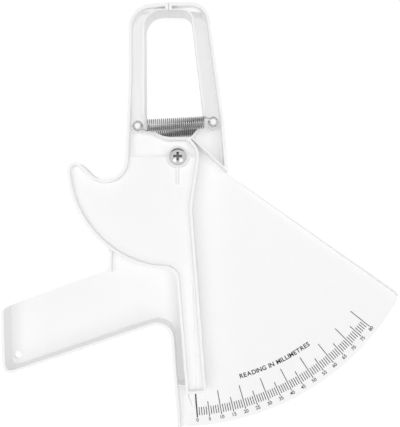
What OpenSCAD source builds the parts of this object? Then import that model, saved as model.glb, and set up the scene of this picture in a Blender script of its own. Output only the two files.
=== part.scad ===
// Skinfold caliper: two white mouldings that cross at a pivot, with a scale fan, a pointer and two springs.
// X runs to the right and Y up towards the jaws, seen from the front; Z runs from the back to the front.
// The origin is on the pivot axis, in the plane of the body's back face.

/* [Depths] */
// Depth of the jaws and tall rims, back to front
depth = 17; // [15.5:0.5:20]
// Thickness of the sheet in both mouldings
sheet_t = 2; // [1.6:0.1:2.4]
// Thickness of the tall rims
rim_w = 2.1; // [1.6:0.1:2.6]
// Thickness of the thin rims along the throat
thin_rim_w = 1.5; // [1.2:0.1:2]
// Height of the lever's arm floor above the back
arm_floor = 8; // [7.5:0.25:9]
// Height of the trigger plate's face above the back
trigger_floor = 12; // [11:0.25:13.5]
// Air between the body's sheet and the lever that sweeps over it
sweep_gap = 0.8; // [0.6:0.1:1.4]

/* [Jaws and arms] */
// Pivot axis to the outer edge of the jaws
jaw_reach = 108.4; // [100:0.2:116]
// Width of the bar that carries each jaw
jaw_bar_w = 5.5; // [5.2:0.1:7]
// Thickness of the jaws' outer rim
jaw_outer_rim_w = 2.6; // [2:0.1:2.8]
// Thickness of the jaws' inner rim, along the throat
jaw_inner_rim_w = 1.1; // [0.9:0.1:1.4]
// Length of the solid end of each jaw, at the parting line
jaw_block_l = 2.4; // [1.8:0.1:3.4]
// Fall of the left jaw's outer edge towards its corner
jaw_fall = 2.6; // [0:0.2:3.4]
// Parting line of the jaws, left of the pivot axis
parting_x = 6.5; // [5:0.5:8]
// Gap between the closed jaws
jaw_gap = 0.16; // [0.1:0.02:0.4]
// Left arm's outer face, left of the pivot axis
left_arm_x = 34.4; // [33.6:0.2:35.4]
// Width of the left arm
left_arm_w = 11.2; // [10.6:0.2:12]
// Right arm's outer face at the jaws, right of the pivot axis
right_arm_x = 20.8; // [19.6:0.2:22]
// Width of the right arm at the jaws
right_arm_w = 12.2; // [11.4:0.2:13]
// Right arm's outer face at the spring, right of the pivot axis
right_base_x = 32.2; // [31.4:0.2:33.4]
// Width of the right arm at the spring
right_base_w = 14.6; // [14:0.2:15.4]
// Radius of the lever's outer corner
left_corner_r = 16; // [13:0.5:18]
// Radius of the body's outer corner
right_corner_r = 13.5; // [11:0.5:15]
// Radius of the throat's upper left corner
throat_left_r = 12; // [9:0.5:14]
// Radius of the throat's upper right corner
throat_right_r = 7.5; // [6:0.5:9]
// Radius of the throat's lower left bend
throat_r = 18.5; // [17:0.5:20]

/* [Scale fan] */
// Drop of the fan arc's centre below the pivot axis
fan_drop = 10.5; // [8:0.5:12]
// Angle of the fan's right corner below level, about the arc's centre
fan_corner_angle = 28.6; // [26:0.2:31]
// Radius of the fan's right corner
fan_corner_r = 8; // [4:0.5:9]
// Height of the low rim on the fan's upper edge, above the sheet
fan_rim_h = 2.4; // [1.5:0.1:4]
// Thickness of the low rim
fan_rim_w = 1.2; // [1:0.1:2]
// Height of the tall rim's end at the fan's lower corner
rim_end_z = 5; // [4:0.5:9]
// Distance of the long marks past the pointer's end wall
tick_gap = 5; // [3:0.2:6]
// Width of the sheet outside the marks
fan_margin = 6.1; // [4:0.1:9]
// Length of the tick marks at every ten millimetres
long_tick = 17.6; // [15:0.2:19]
// Length of the tick marks at every five millimetres
middle_tick = 10.9; // [9:0.2:12]
// Length of the tick marks at every millimetre
short_tick = 5.9; // [4:0.1:7]
// Width of a tick mark
tick_w = 0.55; // [0.3:0.05:0.7]
// Width of the zero mark
zero_tick_w = 0.95; // [0.5:0.05:1.2]
// Thickness of the printed marks
ink_t = 0.12; // [0.08:0.01:0.2]

/* [Handle] */
// Handle's end, left of the pivot axis
handle_x = 123.6; // [115:0.5:130]
// Width of the handle at the upright edge
handle_w = 46.4; // [43:0.2:49]
// Slope of the handle's lower edge below level
handle_angle = 18.6; // [16:0.2:21]
// Slope of the handle's upper edge beyond that of its lower edge
handle_taper = 1.3; // [0:0.1:2]
// Body's short upright edge above the handle, left of the pivot axis
notch_x = 50; // [49:0.2:52]
// Height of the rim along the upright edge
notch_rim_h = 8; // [5:0.5:17]
// Depth of the handle's upper edge below the pivot axis, at the upright edge
handle_y = 80.7; // [80:0.1:86]
// Radius of the lanyard hole
lanyard_r = 2.6; // [2:0.1:3.2]

/* [Trigger and pointer] */
// Radius of the trigger's round edge
trigger_r = 73.8; // [72:0.2:75]
// Radius of the finger hook
hook_r = 14.4; // [13.4:0.2:15]
// Centre of the finger hook, left of the pivot axis
hook_x = 51.3; // [50.5:0.1:52.1]
// Radius of the hook's tip
hook_tip_r = 5.8; // [5:0.1:6.2]
// Pivot axis to the pointer's end wall
pointer_reach = 166.5; // [163:0.5:168]
// Width of the pointer at its end
pointer_w = 14.3; // [13.4:0.1:15.4]
// Length of the thin tongue past the pointer's end wall
tongue_l = 14.4; // [11:0.2:15.6]
// Thickness of the tongue
tongue_t = 1.4; // [1:0.1:2]
// Radius of the lever's round head
head_r = 15; // [14.2:0.1:15.4]
// Air between the lever's head and the body's slanting rim
head_gap = 0.9; // [0.6:0.1:1.2]

/* [Pivot] */
// Radius of the pivot barrel
barrel_r = 3.5; // [3:0.1:4]
// Radial running clearance on the barrel
pivot_fit = 0.05; // [0.02:0.01:0.1]
// Axial running clearance of the lever
axial_fit = 0.1; // [0.05:0.05:0.2]
// Radius of the barrel's flange
flange_r = 6.5; // [5.5:0.1:7]
// Thickness of the barrel's flange
flange_t = 1.5; // [1.2:0.1:2]
// Height of the body's hub above its back face
body_hub_h = 4.4; // [4:0.1:4.6]
// Radius of both hubs
hub_r = 7.8; // [7.4:0.1:8.4]
// Height of the lever hub's face above the back
lever_hub_z = 15; // [14:0.25:16]
// Thickness of the washer between the hubs
spacer_t = 0.8; // [0.5:0.1:0.9]
// Thickness of the washer under the screw head
washer_t = 0.8; // [0.5:0.1:1.2]
// Radius of the pivot screw's head
screw_head_r = 6.1; // [5.4:0.1:6.6]
// Height of the pivot screw's head
screw_head_h = 3.4; // [2.8:0.1:4]
// Radius of the pivot screw's shank
screw_r = 1.9; // [1.5:0.1:2.1]

/* [Springs] */
// Diameter of the spring wire
wire_d = 0.95; // [0.8:0.05:0.98]
// Outer diameter of the coils
coil_od = 8.6; // [7.6:0.1:9]
// Pitch of the coils
coil_pitch = 1.4; // [1.4:0.05:1.8]
// Radius of the end loops, to the middle of the wire
loop_r = 3.2; // [3.1:0.1:3.4]
// Height of the front spring's axis above the back
front_spring_z = 22; // [21.8:0.1:23]
// Depth of the rear spring's axis behind the back
rear_spring_z = 5; // [4.8:0.1:6]
// Radius of the spring posts
post_r = 2.2; // [2:0.1:2.3]
// Left post, left of the pivot axis
left_post_x = 27.5; // [27:0.1:28.5]
// Height of the left front post above the pivot axis
left_post_y = 20.6; // [20.2:0.1:21.4]
// Right post, right of the pivot axis
right_post_x = 24.7; // [24:0.1:25.2]
// Height of the right front post above the pivot axis
right_post_y = 23.4; // [22.8:0.1:24]
// Distance of the rear posts below the front ones
rear_post_drop = 1.7; // [1.2:0.1:2]

/* [Hidden] */
$fn = 64;

// Greatest distance between an arc and the straight steps that draw it
arc_tol = 0.04;
// Length by which a cut runs past what it cuts
over = 1;
// Rim width that leaves an edge open, because the pocket then runs out past it
open_edge = -over;
// Height or length that takes in the whole part
whole = 400;

lever_back = sheet_t + sweep_gap;
lever_hub_back = body_hub_h + spacer_t + axial_fit;
barrel_top = lever_hub_z + axial_fit;
white = [0.96, 0.96, 0.95];

// ---- Outlines. A corner is [x, y, fillet radius, thickness of the rim along the edge that follows it].

function unit(v) = v / norm(v);
function left_of(v) = [-v.y, v.x];
function cross2(a, b) = a.x * b.y - a.y * b.x;
function flat(p) = [p.x, p.y];
function polar(r, a) = [r * cos(a), r * sin(a)];
function steps(r, sweep) = max(1, ceil(abs(sweep) / (2 * acos(1 - min(1, arc_tol / r)))));

// Corners along an arc about c, from angle a0 to angle a1
function arc(c, r, a0, a1, rim) = [
    for (i = [0:steps(r, a1 - a0)])
        let (p = c + polar(r, a0 + (a1 - a0) * i / steps(r, a1 - a0)))
        [p.x, p.y, 0, rim]
];

// Corner b between its neighbours, replaced by the points of its fillet
function fillet(a, b, c) =
    let (
        u = unit(flat(a) - flat(b)),
        v = unit(flat(c) - flat(b)),
        half = acos(max(-1, min(1, u * v))) / 2,
        r = b[2]
    )
    r < 0.05 || half > 89 ? [flat(b)] :
    let (
        centre = flat(b) + unit(u + v) * r / sin(half),
        start = flat(b) + u * r / tan(half) - centre,
        side = cross2(-u, v) > 0 ? 1 : -1,
        sweep = side * (180 - 2 * half),
        n = steps(r, sweep),
        a0 = atan2(start.y, start.x)
    )
    [for (i = [0:n]) centre + polar(r, a0 + sweep * i / n)];

function rounded(p) = [
    for (i = [0:len(p) - 1])
        each fillet(p[(i + len(p) - 1) % len(p)], p[i], p[(i + 1) % len(p)])
];

// Corner b moved inwards by the rim thickness of the edge on each side of it
function inset_corner(a, b, c) =
    let (
        d0 = unit(flat(b) - flat(a)),
        d1 = unit(flat(c) - flat(b)),
        n0 = left_of(d0),
        n1 = left_of(d1),
        turn = cross2(d0, d1),
        w0 = a[3],
        w1 = b[3],
        shift = abs(turn) < 0.25
            ? unit(n0 + n1) * (w0 + w1) / (1 + n0 * n1) * norm(n0 + n1) / 2
            : [w0 * n1.y - w1 * n0.y, n0.x * w1 - n1.x * w0] / turn,
        r = b[2] < 0.05 ? 0 : b[2] - sign(turn) * (max(w0, 0) + max(w1, 0)) / 2
    )
    [b.x + shift.x, b.y + shift.y, max(r, 0), b[3]];

function inset(p) = [
    for (i = [0:len(p) - 1])
        inset_corner(p[(i + len(p) - 1) % len(p)], p[i], p[(i + 1) % len(p)])
];

module prism(outline, z0, z1) {
    translate([0, 0, z0]) linear_extrude(z1 - z0) polygon(rounded(outline));
}

// Rims along an outline's edges, between two heights
module rims(outline, z0, z1) {
    translate([0, 0, z0]) linear_extrude(z1 - z0) difference() {
        polygon(rounded(outline));
        polygon(rounded(inset(outline)));
    }
}

// What lies above a level line, or below it where the height is negative
module above(y, height, z0, z1) {
    reach = 2 * fan_r;
    translate([-reach, min(y, y + height), z0]) cube([2 * reach, abs(height), z1 - z0]);
}

// ---- Places that both mouldings share

throat_top = jaw_reach - jaw_bar_w;
throat_left = -left_arm_x + left_arm_w;
// The head is cut flat where the throat ends
head_flat = 1.2;
head_top = head_r - head_flat;
throat_c = [throat_left + throat_r, head_top + throat_r];
parting_left = -parting_x - jaw_gap / 2;
parting_right = -parting_x + jaw_gap / 2;

// Shoulder, where the right arm's outer face meets the fan's upper edge
shoulder_out = 3.1;
shoulder_drop = 11.2;
shoulder = [right_base_x + shoulder_out, -shoulder_drop];
shoulder_r = 16;
// The slanting rim touches a circle about the pivot that leaves the head its gap
slant_r = head_r + head_gap;
slant_past = 2.6;
slant_angle = atan2(shoulder.y, shoulder.x) + acos(slant_r / norm(shoulder));
slant_end = polar(slant_r, slant_angle) + polar(slant_past, slant_angle + 90);

// ---- Body

// The right arm leans, and bends a little at the spring and again below it
arm_lean = 0.3;
spring_bend_y = right_post_y + 2.2;
low_bend = [right_base_x + 1.2, 10];
bend_r = 60;
inner_bend_y = right_post_y + 10.5;
foot_y = right_post_y + 0.6;

arm_outline = [
    [parting_right, throat_top, 0, jaw_inner_rim_w],
    [right_arm_x - right_arm_w + arm_lean, throat_top, throat_right_r, thin_rim_w],
    [right_base_x - right_base_w - arm_lean, inner_bend_y, bend_r / 2, thin_rim_w],
    [right_base_x - right_base_w, foot_y, bend_r / 6, thin_rim_w],
    [slant_end.x, slant_end.y, 1, thin_rim_w],
    [shoulder.x, shoulder.y, 0.4, rim_w],
    [low_bend.x, low_bend.y, bend_r, rim_w],
    [right_base_x, spring_bend_y, bend_r, rim_w],
    [right_arm_x, jaw_reach, right_corner_r, jaw_outer_rim_w],
    [parting_right, jaw_reach, 0, 0]
];

tick_inner_r = pointer_reach + tick_gap - fan_drop;
tick_outer_r = tick_inner_r + long_tick;
fan_r = tick_outer_r + fan_margin;
fan_c = [-0.2, -fan_drop];
fan_corner = fan_c + polar(fan_r, -fan_corner_angle);
fan_foot = fan_c - [0, fan_r];
// The arc stops short of the corner by what the corner's fillet needs
corner_trim = asin(min(1, 1.1 * fan_corner_r / fan_r));

// The handle's edges run down to the left from the upright edge
function handle_high_y(x) = -handle_y + (x + notch_x) * tan(handle_angle + handle_taper);
function handle_low_y(x) = -handle_y - handle_w / cos(handle_angle) + (x + notch_x) * tan(handle_angle);
// The handle's end leans by this much
end_lean = 1.2;
handle_end_r = 6;
handle_root_x = -5.6;
handle_root = [handle_root_x, handle_low_y(handle_root_x)];
handle_root_r = 10;
function fan_left_x(y) =
    fan_foot.x + (handle_root.x - fan_foot.x) * (y - fan_foot.y) / (handle_root.y - fan_foot.y);

// Part of the body's sheet that lies hidden behind the lever
hidden_hub_r = 14;
hidden_top = head_top - 0.4;
hidden_corner = [-hidden_hub_r + 2, -hidden_hub_r];
notch_top = -62;
notch_r = 7;

// Outline of the body's sheet, with one rim width for its tall rims and one for its low rim
function body_outline(tall, low) = concat(
    arc(fan_c, fan_r, -90, -fan_corner_angle - corner_trim, open_edge),
    [
        [fan_corner.x, fan_corner.y, fan_corner_r, low],
        [shoulder.x, shoulder.y, shoulder_r, open_edge],
        [slant_end.x, slant_end.y, 0, open_edge],
        [0, hidden_top, 0, open_edge],
        [-hidden_hub_r, 0, 0, open_edge],
        [hidden_corner.x, hidden_corner.y, 0, open_edge],
        [-notch_x, notch_top, 0, open_edge],
        [-notch_x, -handle_y, notch_r, open_edge],
        [-handle_x - end_lean / 2, handle_high_y(-handle_x), handle_end_r, tall],
        [-handle_x + end_lean / 2, handle_low_y(-handle_x), handle_end_r, tall],
        [handle_root.x, handle_root.y, handle_root_r, tall]
    ]
);

// Tall rim round the handle's end, along its lower edge and down the fan, where it tapers to its foot
module tall_rims() {
    taper_top = -150;
    difference() {
        rims(body_outline(rim_w, open_edge), 0, depth);
        above(-handle_y, whole, -over, depth + over);
        translate([-handle_x, 0, 0]) rotate([90, 0, 90]) linear_extrude(2 * handle_x) polygon([
            [taper_top, depth],
            [taper_top, depth + over],
            [fan_foot.y - over, depth + over],
            [fan_foot.y - over, rim_end_z]
        ]);
    }
}

// Low rim along the fan's upper edge, which starts a little way out from the shoulder
module low_rim() {
    low_rim_start = shoulder.x + 10;
    intersection() {
        rims(body_outline(open_edge, fan_rim_w), 0, sheet_t + fan_rim_h);
        translate([low_rim_start, fan_foot.y, 0]) cube([fan_r, fan_r, depth]);
    }
}

// Short upright rim above the handle, clear of the trigger's sweep
module notch_rim() {
    inner_x = notch_x - rim_w;
    rim_top = -sqrt(pow(trigger_sweep_r + sweep_gap, 2) - inner_x * inner_x);
    rim_end = -handle_y - 1.2;
    translate([-notch_x, rim_end, 0]) cube([rim_w, rim_top - rim_end, notch_rim_h]);
}

// Post for a spring: a shelf under the loop, a shank through it and a bevelled tip
module spring_post(base_z, loop_z, tip_z) {
    side = sign(tip_z - base_z);
    shelf_w = 0.8;
    bevel = 0.6;
    shelf_z = loop_z - side * (wire_d / 2 + 0.3);
    module length_of(r0, r1, z0, z1) {
        translate([0, 0, min(z0, z1)])
            cylinder(r1 = side > 0 ? r0 : r1, r2 = side > 0 ? r1 : r0, h = abs(z1 - z0));
    }
    length_of(post_r + shelf_w, post_r + shelf_w, base_z, shelf_z);
    length_of(post_r, post_r, base_z, tip_z - side * bevel);
    length_of(post_r, post_r - bevel, tip_z - side * bevel, tip_z);
}

// Length of a front post past its spring's axis
post_over = 1.7;
coil_r = (coil_od - wire_d) / 2;
// The rear posts reach past the coils, so that the part rests on them
rear_tip_z = -rear_spring_z - coil_od / 2 - 0.3;
// The body's hub is this much wider than the lever's, and the flange's seat than the flange
hub_step = 1;
seat_fit = 0.2;
lanyard_in = [6.5, 9.3];
lanyard = [-handle_x + lanyard_in.x, handle_low_y(-handle_x + lanyard_in.x) + lanyard_in.y];

module body() {
    color(white) difference() {
        union() {
            prism(body_outline(rim_w, fan_rim_w), 0, sheet_t);
            prism(arm_outline, 0, sheet_t);
            rims(arm_outline, 0, depth);
            jaw_fill(arm_outline, parting_right, 1);
            tall_rims();
            low_rim();
            notch_rim();
            cylinder(r = hub_r + hub_step, h = body_hub_h);
            translate([right_post_x, right_post_y, 0])
                spring_post(sheet_t / 2, front_spring_z, front_spring_z + post_over);
            translate([right_post_x, right_post_y - rear_post_drop, 0])
                spring_post(sheet_t / 2, -rear_spring_z, rear_tip_z);
            zero_stop();
        }
        translate([0, 0, -over]) cylinder(r = barrel_r + pivot_fit, h = body_hub_h + 2 * over);
        translate([0, 0, -over]) cylinder(r = flange_r + seat_fit, h = flange_t + over);
        translate([lanyard.x, lanyard.y, -over]) cylinder(r = lanyard_r, h = sheet_t + 2 * over);
    }
}

// Bar of a jaw: a solid end at the parting line, then a slot, then a shallow groove between its rims
module jaw_fill(outline, face_x, side) {
    groove_d = 4.5;
    slot_l = 3.4;
    slot_x = face_x + side * jaw_block_l;
    slot_w = jaw_bar_w - jaw_inner_rim_w - jaw_outer_rim_w;
    intersection() {
        prism(outline, 0, depth);
        union() {
            translate([min(face_x, slot_x), throat_top, 0]) cube([jaw_block_l, jaw_bar_w, depth]);
            difference() {
                above(throat_top, jaw_bar_w, 0, depth - groove_d);
                translate([min(slot_x, slot_x + side * slot_l), throat_top + jaw_inner_rim_w, sheet_t])
                    cube([slot_l, slot_w, depth]);
            }
        }
    }
}

// Rib that stops the pointer at zero
module zero_stop() {
    stop_y = -pointer_reach + 4.1;
    stop_gap = 0.12;
    stop_h = 12;
    x0 = fan_left_x(stop_y) + rim_w / 2;
    x1 = pointer_left_x(stop_y) - stop_gap;
    translate([x0, stop_y - 0.5, 0]) cube([x1 - x0, 1, stop_h]);
}

// ---- Lever

trigger_c = [-4, -5.6];
trigger_sweep_r = norm(trigger_c) + trigger_r;
// The hook is round from its right side to the straight flank of its tip
hook_c = [-hook_x, -1.8];
hook_flank = -132;
tip_angle = 183.6;
tip_blend = 12;
tip_c = trigger_c + polar(trigger_r - hook_tip_r, tip_angle);
trigger_end = 260;
pointer_end_x = 20.1;
pointer_lean = 0.0843;
function pointer_left_x(y) = pointer_end_x - pointer_w - pointer_lean * (y + pointer_reach);
pointer_root_y = trigger_c.y - trigger_r + 0.4;
pointer_root = [pointer_left_x(pointer_root_y), pointer_root_y];
pointer_root_r = 8.4;
// The lever's right edge swings out below the head, then follows the pointer
waist = [9.9, -36];

lever_outline = concat(
    [
        [parting_left, jaw_reach, 0, jaw_outer_rim_w],
        [-left_arm_x, jaw_reach - jaw_fall, left_corner_r, rim_w],
        [-left_arm_x, jaw_reach / 2, 0, rim_w]
    ],
    arc(hook_c, hook_r, 0, hook_flank, rim_w),
    arc(tip_c, hook_tip_r, hook_flank + 180, tip_angle - tip_blend, rim_w),
    arc(trigger_c, trigger_r, tip_angle, trigger_end, rim_w),
    [
        [pointer_root.x, pointer_root.y, pointer_root_r, rim_w],
        [pointer_left_x(-pointer_reach), -pointer_reach - 0.8, 0.6, rim_w],
        [pointer_end_x, -pointer_reach + 0.6, 1.2, rim_w],
        [waist.x, waist.y, bend_r, rim_w],
        [head_r, -2, 4, rim_w]
    ],
    arc([0, 0], head_r, 4, asin(head_top / head_r), rim_w),
    arc(throat_c, throat_r, -92, -180, rim_w),
    [
        [throat_left, throat_top, throat_left_r, jaw_inner_rim_w],
        [parting_left, throat_top, 0, 0]
    ]
);

// Height of the step across the head, where the arm's floor meets the trigger's
step_y = 0.4;
// The arm is as deep as the jaws above the body's sheet, which ends at the head
arm_back_y = hidden_top + sweep_gap + 0.4;

// Sheet of the lever between two heights, above or below the step across its head
module lever_sheet(upper, z0, z1) {
    intersection() {
        prism(lever_outline, z0, z1);
        above(step_y, upper ? whole : -whole, z0, z1);
    }
}

// Thin tongue under the pointer's end, cut aslant to a tip beside the zero mark
module pointer_tongue() {
    root_w = 6;
    tip_w = 1.2;
    straight_l = 5.2;
    left = pointer_left_x(-pointer_reach);
    translate([left, -pointer_reach, lever_back]) linear_extrude(tongue_t) polygon([
        [0, 0],
        [0, -straight_l],
        [root_w - tip_w, -tongue_l],
        [root_w, -tongue_l + 0.2],
        [root_w, 0]
    ]);
}

module lever_ribs() {
    sunk = 0.5;
    // Wall of the step between the two floors
    intersection() {
        prism(lever_outline, arm_floor - sheet_t, trigger_floor);
        above(step_y, -sheet_t, arm_floor - sheet_t, trigger_floor);
    }
    // Gusset that runs down from the hub
    gusset_l = 19;
    gusset_w = 2.2;
    gusset_h = 1.7;
    translate([-0.4, 0, trigger_floor]) rotate([90, 0, 0]) linear_extrude(gusset_l) polygon([
        [-gusset_w / 2, -sunk], [gusset_w / 2, -sunk], [gusset_w / 3, gusset_h], [-gusset_w / 3, gusset_h]
    ]);
    // Faint middle rib of the pointer
    rib_w = 1;
    rib_h = 0.4;
    rib_top = [10.4, -90];
    rib_foot = [pointer_end_x - pointer_w / 2, -pointer_reach + 3];
    rib_dir = unit(rib_foot - rib_top);
    translate([rib_top.x, rib_top.y, trigger_floor - sunk]) rotate(atan2(rib_dir.y, rib_dir.x))
        translate([0, -rib_w / 2, 0]) cube([norm(rib_foot - rib_top), rib_w, sunk + rib_h]);
}

module lever() {
    color(white) difference() {
        union() {
            rims(lever_outline, lever_back, depth);
            intersection() {
                rims(lever_outline, 0, depth);
                above(arm_back_y, whole, 0, depth);
            }
            lever_sheet(true, arm_floor - sheet_t, arm_floor);
            lever_sheet(false, trigger_floor - sheet_t, trigger_floor);
            jaw_fill(lever_outline, parting_left, -1);
            lever_ribs();
            translate([0, 0, lever_hub_back]) cylinder(r = hub_r, h = lever_hub_z - lever_hub_back);
            translate([-left_post_x, left_post_y, 0])
                spring_post(arm_floor - sheet_t / 2, front_spring_z, front_spring_z + post_over);
            translate([-left_post_x, left_post_y - rear_post_drop, 0])
                spring_post(arm_floor - sheet_t / 2, -rear_spring_z, rear_tip_z);
            pointer_tongue();
        }
        cylinder(r = barrel_r + pivot_fit, h = depth + over);
    }
}

// ---- Pivot

screw_hole_r = screw_r + pivot_fit;
screw_l = 9;
// The washers are this much smaller than the hubs
washer_in = 0.2;

module pivot_barrel() {
    color("silver") difference() {
        union() {
            cylinder(r = flange_r, h = flange_t);
            cylinder(r = barrel_r, h = barrel_top);
        }
        translate([0, 0, barrel_top - screw_l - over]) cylinder(r = screw_hole_r, h = screw_l + 2 * over);
    }
}

module washer(inner_r, outer_r, z, t) {
    translate([0, 0, z]) difference() {
        cylinder(r = outer_r, h = t);
        translate([0, 0, -over]) cylinder(r = inner_r, h = t + 2 * over);
    }
}

module spacer_washer() {
    color(white) washer(barrel_r + pivot_fit, hub_r - washer_in, body_hub_h, spacer_t);
}

module front_washer() {
    color(white) washer(screw_r + pivot_fit, hub_r - washer_in, barrel_top, washer_t);
}

module pivot_screw() {
    head_z = barrel_top + washer_t;
    edge_h = 1.1;
    dome_h = screw_head_h - edge_h;
    dome_r = (screw_head_r * screw_head_r + dome_h * dome_h) / (2 * dome_h);
    recess_w = 1.9;
    recess_l = 6.4;
    recess_d = 2.4;
    color("silver") difference() {
        union() {
            translate([0, 0, head_z]) cylinder(r = screw_head_r, h = edge_h);
            translate([0, 0, head_z]) intersection() {
                translate([0, 0, screw_head_h - dome_r]) sphere(r = dome_r);
                cylinder(r = screw_head_r, h = screw_head_h + over);
            }
            translate([0, 0, barrel_top - screw_l]) cylinder(r = screw_r, h = screw_l + washer_t + edge_h);
        }
        for (a = [0, 90])
            translate([0, 0, head_z + screw_head_h - recess_d]) rotate(a)
                translate([-recess_l / 2, -recess_w / 2, 0]) cube([recess_l, recess_w, recess_d + over]);
    }
}

// ---- Springs. The path runs along x from post to post, with z along the posts.

loop_step = 20;
loop_start = -20;
loop_end = 300;
coil_sides = 8;
lead_steps = 6;
lead_l = loop_r + 2.5;

function bezier(a, b, c, d, t) =
    a * pow(1 - t, 3) + b * 3 * t * pow(1 - t, 2) + c * 3 * t * t * (1 - t) + d * pow(t, 3);

function spring_turns(span) = floor((span - 2 * lead_l) / coil_pitch - 0.5) + 0.5;

// Loop round the left post and the lead from it to the first coil
function spring_end(coil_start) =
    let (
        p0 = [loop_r * cos(loop_end), loop_r * sin(loop_end), 0],
        p1 = [coil_start, -coil_r, 0]
    )
    concat(
        [for (a = [loop_start:loop_step:loop_end]) [loop_r * cos(a), loop_r * sin(a), 0]],
        [for (i = [1:lead_steps - 1])
            bezier(p0, p0 + [1.6, 0.9, 0], p1 + [-0.4, 0, 1.4], p1, i / lead_steps)]
    );

function spring_path(span) =
    let (
        turns = spring_turns(span),
        start = (span - turns * coil_pitch) / 2,
        n = round(turns * coil_sides),
        end = spring_end(start)
    )
    concat(
        end,
        [for (i = [0:n]) let (a = 180 + 360 * turns * i / n)
            [start + coil_pitch * turns * i / n, coil_r * cos(a), coil_r * sin(a)]],
        [for (i = [len(end) - 1:-1:0]) [span - end[i].x, -end[i].y, end[i].z]]
    );

function direction(p, i) = unit(p[min(i + 1, len(p) - 1)] - p[max(i - 1, 0)]);
function square_to(n, t) = unit(n - (n * t) * t);

// Normals carried along the path without twist
function normals(p) = [
    for (i = 0, n = square_to([0, 0, 1], direction(p, 0)); i < len(p);
         i = i + 1, n = square_to(n, direction(p, min(i, len(p) - 1)))) n
];

module tube(p, r) {
    sides = 6;
    n = normals(p);
    last = len(p) - 1;
    points = [
        for (i = [0:last], k = [0:sides - 1])
            let (b = cross(direction(p, i), n[i]), a = 360 * k / sides)
            p[i] + r * (n[i] * cos(a) + b * sin(a))
    ];
    walls = [
        for (i = [0:last - 1], k = [0:sides - 1])
            let (a = i * sides + k, b = i * sides + (k + 1) % sides)
            each [[a, a + sides, b], [b, a + sides, b + sides]]
    ];
    caps = [for (k = [1:sides - 2]) each [
        [0, k, k + 1],
        [last * sides, last * sides + k + 1, last * sides + k]
    ]];
    polyhedron(points, concat(walls, caps));
}

function least_gap(p) = min([
    for (i = [0:len(p) - 6], j = [i + 5:len(p) - 1]) norm(p[i] - p[j])
]) - wire_d;

// Spring between a post of the lever and a post of the body
module spring(drop, z) {
    a = [-left_post_x, left_post_y - drop];
    b = [right_post_x, right_post_y - drop];
    path = spring_path(norm(b - a));
    echo(turns = spring_turns(norm(b - a)), least_gap = least_gap(path), points = len(path));
    color("gray") translate([a.x, a.y, z]) rotate(atan2(b.y - a.y, b.x - a.x)) tube(path, wire_d / 2);
}

module front_spring() {
    spring(0, front_spring_z);
}

module rear_spring() {
    spring(rear_post_drop, -rear_spring_z);
}

// ---- Scale. A mark lies where the pointer stands when the jaws are that far apart.

jaw_mid_r = norm([parting_x, jaw_reach - jaw_bar_w / 2]);
zero_angle = 4.15;
top_reading = 80;
function lever_angle(gap) = 2 * asin(gap / (2 * jaw_mid_r));

// Angle about the fan's centre of the place at radius r that the pointer shows
function mark_angle(gap, r) =
    let (
        d = polar(1, zero_angle + lever_angle(gap) - 90),
        t = fan_c * d + sqrt(pow(fan_c * d, 2) - fan_c * fan_c + r * r),
        p = t * d - fan_c
    )
    atan2(p.y, p.x);

module scale_print() {
    mean_r = tick_inner_r + long_tick / 2;
    short_in = 1.4;
    color([0.15, 0.15, 0.15])
    for (g = [0:top_reading]) {
        l = g % 10 == 0 ? long_tick : g % 5 == 0 ? middle_tick : short_tick;
        r1 = g % 5 == 0 ? tick_outer_r : tick_outer_r - short_in;
        w = g == 0 ? zero_tick_w : tick_w;
        translate([fan_c.x, fan_c.y, sheet_t]) rotate(mark_angle(g, mean_r))
            translate([r1 - l, -w / 2, 0]) cube([l, w, ink_t]);
    }
}

body();
lever();
pivot_barrel();
pivot_screw();
front_washer();
spacer_washer();
front_spring();
rear_spring();
scale_print();
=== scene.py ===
# %% [markdown]
# # A skinfold caliper, dressed for the camera
# A skinfold caliper pinches a fold of skin between two jaws and shows how thick it is. Two white mouldings
# cross at a pivot, like scissors. One carries the scale, and the other a trigger and a pointer. The packed
# CAD model already holds every size, so this lesson only adds what the eye looks for: rounded moulded
# edges, round spring wire, a domed screw, printed numbers, and surfaces that answer light as plastic,
# steel, nylon and ink do. The model lies on its back, X runs to the right, Y up to the jaws, Z to the viewer.

import math

import bmesh
import bpy
from mathutils import Matrix, Vector


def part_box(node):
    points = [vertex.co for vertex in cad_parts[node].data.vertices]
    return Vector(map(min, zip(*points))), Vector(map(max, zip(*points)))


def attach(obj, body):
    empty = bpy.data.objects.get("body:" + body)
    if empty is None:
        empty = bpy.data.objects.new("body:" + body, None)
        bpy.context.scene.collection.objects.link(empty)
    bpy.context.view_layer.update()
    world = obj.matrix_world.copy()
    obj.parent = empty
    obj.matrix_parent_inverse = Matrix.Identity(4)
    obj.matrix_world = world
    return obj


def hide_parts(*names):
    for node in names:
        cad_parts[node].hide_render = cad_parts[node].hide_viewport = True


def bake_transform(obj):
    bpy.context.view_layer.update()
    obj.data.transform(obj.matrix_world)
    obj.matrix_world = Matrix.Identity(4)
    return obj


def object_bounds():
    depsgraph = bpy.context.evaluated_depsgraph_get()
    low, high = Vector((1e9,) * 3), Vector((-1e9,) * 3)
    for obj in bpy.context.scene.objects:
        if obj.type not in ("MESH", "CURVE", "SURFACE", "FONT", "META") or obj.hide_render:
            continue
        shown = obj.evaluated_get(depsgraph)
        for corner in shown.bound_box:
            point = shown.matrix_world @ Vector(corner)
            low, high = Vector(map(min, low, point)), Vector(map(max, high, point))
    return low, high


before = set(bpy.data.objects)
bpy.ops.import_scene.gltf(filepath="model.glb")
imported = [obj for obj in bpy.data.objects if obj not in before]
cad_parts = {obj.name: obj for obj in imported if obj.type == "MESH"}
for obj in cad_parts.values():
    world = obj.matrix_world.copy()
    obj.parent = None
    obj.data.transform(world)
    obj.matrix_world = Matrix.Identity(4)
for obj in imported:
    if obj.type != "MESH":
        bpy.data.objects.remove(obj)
cad_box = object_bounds()
MM = 0.001
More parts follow.
